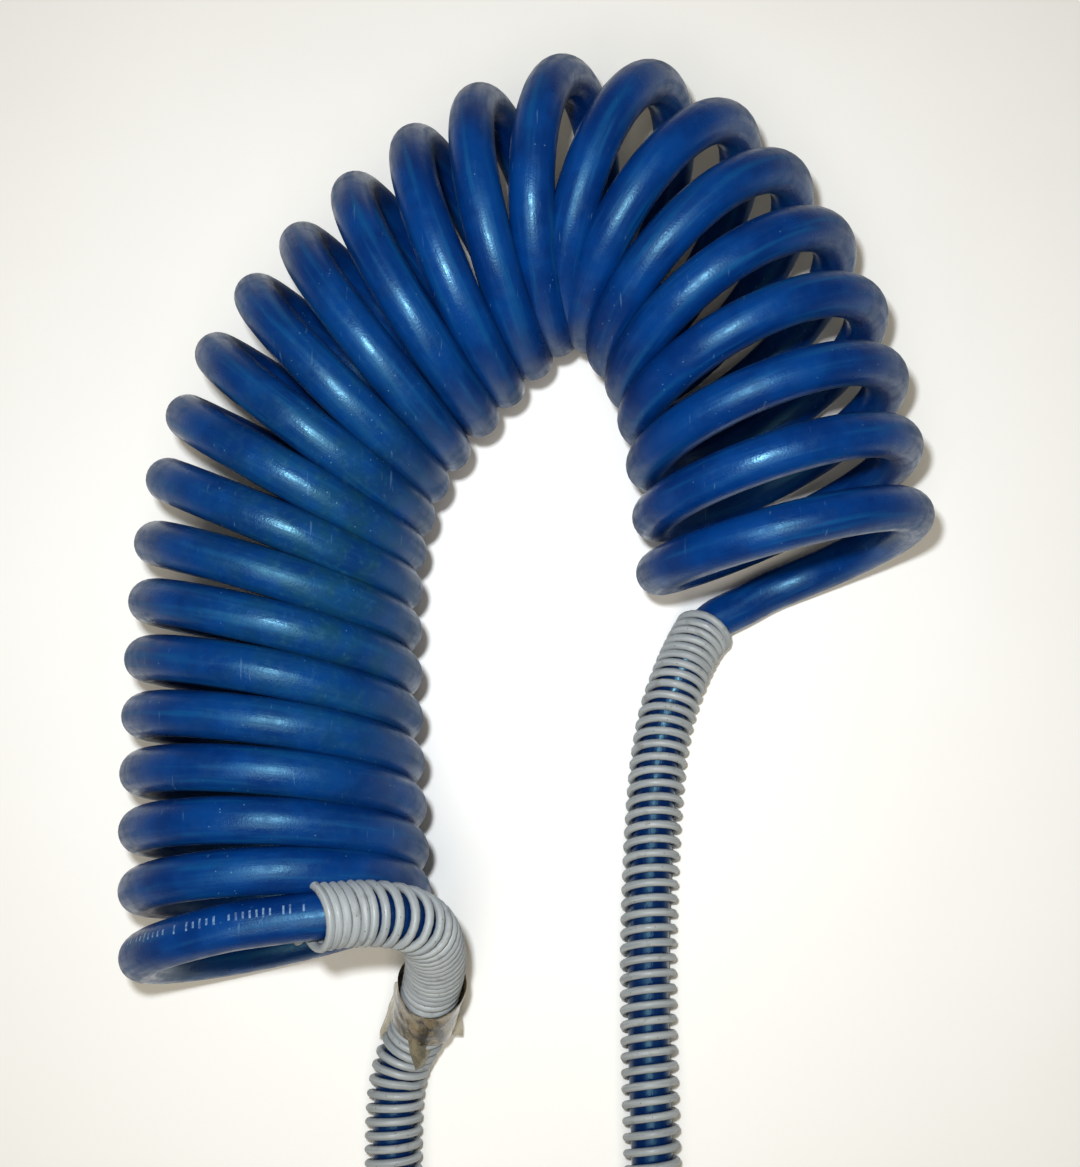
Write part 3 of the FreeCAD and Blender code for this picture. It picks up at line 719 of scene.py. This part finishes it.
# ---------------------------------------------------------------- fittings
def hexagon(s, start, end, angle):
    """Radius of a hex between two places on the axis, with both its ends chamfered to a cone."""
    sector = (angle + math.pi / 6) % (math.pi / 3) - math.pi / 6
    flat = HEX_FLATS / 2 / np.cos(sector)
    corner_cut = HEX_FLATS / 2 + np.minimum(s - start, end - s) * 1.6
    return np.minimum(flat, corner_cut + 0.2 * MM)


def thread(s, start, end, angle):
    """Radius of a right-handed pipe thread with a chamfered end; it tapers by 1 in 16 on its diameter."""
    outer = THREAD_OUTER / 2 - (s - start) / 32
    wave = ((s - start) / THREAD_PITCH - angle / (2 * math.pi)) % 1
    ridge = np.clip(1.15 - 2.3 * np.abs(wave - 0.5), 0, 1)
    run_in = np.clip((s - start) / THREAD_RUN_IN, 0, 1)
    chamfer = np.clip((end - s) / THREAD_CHAMFER, 0, 1)
    return outer - THREAD_DEPTH * (1 - ridge * run_in * chamfer) * (0.4 + 0.6 * run_in)


def threaded_piece(name, end, stem, hex_span, thread_span, bore):
    """A turned brass piece whose axis runs towards -Y from a nut's back face.

    stem and bore are (distance, radius) profiles in millimetres, the stem up to the hex and the bore from the
    far end back to the start.
    """
    angle = np.linspace(0, 2 * math.pi, AROUND, endpoint=False)
    rings = [(s * MM, np.full(AROUND, r * MM)) for s, r in stem]
    hex_start, hex_end = (v * MM for v in hex_span)
    for first in (hex_start, hex_end - HEX_CHAMFER):
        for s in np.linspace(first, first + HEX_CHAMFER, 5):
            rings.append((s, hexagon(s, hex_start, hex_end, angle)))
    thread_start, thread_end = (v * MM for v in thread_span)
    for s in np.arange(thread_start, thread_end, THREAD_PITCH / 12):
        rings.append((s, thread(s, thread_start, thread_end, angle)))
    rings.append((thread_end, thread(thread_end, thread_start, thread_end, angle)))
    rings += [(s * MM, np.full(AROUND, r * MM)) for s, r in bore]
    x, y, z = end
    vertices = np.concatenate([
        np.stack([x + r * np.sin(angle), np.full(AROUND, y - s), z + r * np.cos(angle)], axis=-1)
        for s, r in rings
    ])
    faces, _, _ = skin(len(rings), AROUND)
    last = (len(rings) - 1) * AROUND
    step = np.arange(AROUND)
    after = (step + 1) % AROUND
    closing = np.stack([last + step, last + after, after, step], axis=-1)
    made = mesh_from(name, vertices, np.concatenate([faces, closing]), paint=BRASS)
    made.data.set_sharp_from_angle(angle=math.radians(32))
    return made


def behind(nut_low, nut_high):
    """The point on a nut's axis 0.5 mm behind its box, which a fitting's distances are measured from."""
    return (nut_low[0] + nut_high[0]) / 2, nut_high[1] + 0.5 * MM, (nut_low[2] + nut_high[2]) / 2


body_left = threaded_piece(
    "fitting_body_left_turned", behind(*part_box("compression_nut_left")),
    [(12, 7.95), (12, 8.75), (21, 8.75)], (21, 30), (30, 50),
    [(50, 4.5), (24, 4.5), (24, 6.45), (15, 6.45)],
)
nipple = threaded_piece(
    "swivel_nipple_turned", behind(*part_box("compression_nut_right")),
    [(26.8, 4.5), (26.8, 7.45), (28.6, 7.45), (28.6, 6), (30.6, 6), (30.6, 7.45), (34, 7.45), (34, 6.45),
     (35.8, 6.45), (35.8, 7.45), (41.2, 7.45)],
    (41.2, 49.2), (49.2, 69.2), [(69.2, 4.5)],
)
for piece, node, body in ((body_left, "fitting_body_left", "hose"), (nipple, "swivel_nipple", "swivel")):
    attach(piece, body)
    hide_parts(node)

for name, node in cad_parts.items():
    if not node.hide_render:
        node.data.materials.clear()
        node.data.materials.append(NODE_PAINTS.get(name, BRASS))


# ---------------------------------------------------------------- floor, lights and camera
def floor_paint():
    """White painted board, very slightly uneven."""
    paint = Paint("white_board")
    cloud = paint.noise(paint.place(), 9, 4)
    paint.use("Base Color", paint.mix(cloud, (0.90, 0.885, 0.85, 1), (0.94, 0.93, 0.905, 1)))
    paint.use("Roughness", paint.ramp(cloud, 0.3, 0.7, 0.4, 0.55))
    return paint.material


floor_mesh = bpy.data.meshes.new("floor")
floor_mesh.from_pydata([(-3, -3, 0), (3, -3, 0), (3, 3, 0), (-3, 3, 0)], [], [(0, 1, 2, 3)])
floor_mesh.materials.append(floor_paint())
floor = bpy.data.objects.new("floor", floor_mesh)
bpy.context.scene.collection.objects.link(floor)

world = bpy.data.worlds.new("world")
bpy.context.scene.world = world
world.use_nodes = True
world.node_tree.nodes["Background"].inputs["Color"].default_value = (1, 0.9, 0.66, 1)
world.node_tree.nodes["Background"].inputs["Strength"].default_value = 0.11


def area_light(name, place, target, side, power, colour):
    light = bpy.data.lights.new(name, "AREA")
    light.size = side
    light.energy = power
    light.color = colour
    made = bpy.data.objects.new(name, light)
    bpy.context.scene.collection.objects.link(made)
    made.location = place
    made.rotation_euler = (Vector(target) - Vector(place)).to_track_quat("-Z", "Y").to_euler()
    made.visible_camera = False


area_light("key", (-0.02, 0.095, 0.47), (0, 0.06, 0), 0.018, 1.9, (0.9, 0.95, 1))
area_light("ceiling", (-0.08, -0.49, 1.7), (0, 0.06, 0), 0.9, 11.5, (1, 0.92, 0.78))

TILT = math.radians(3)
DISTANCE = 0.464
camera_data = bpy.data.cameras.new("camera")
camera_data.lens = 44.73
camera = bpy.data.objects.new("camera", camera_data)
bpy.context.scene.collection.objects.link(camera)
camera.location = (3 * MM, 82.5 * MM - DISTANCE * math.sin(TILT), DISTANCE * math.cos(TILT))
camera.rotation_euler = (TILT, 0, 0)
bpy.context.scene.camera = camera
bpy.context.scene.view_settings.view_transform = "Standard"

bpy.context.view_layer.update()
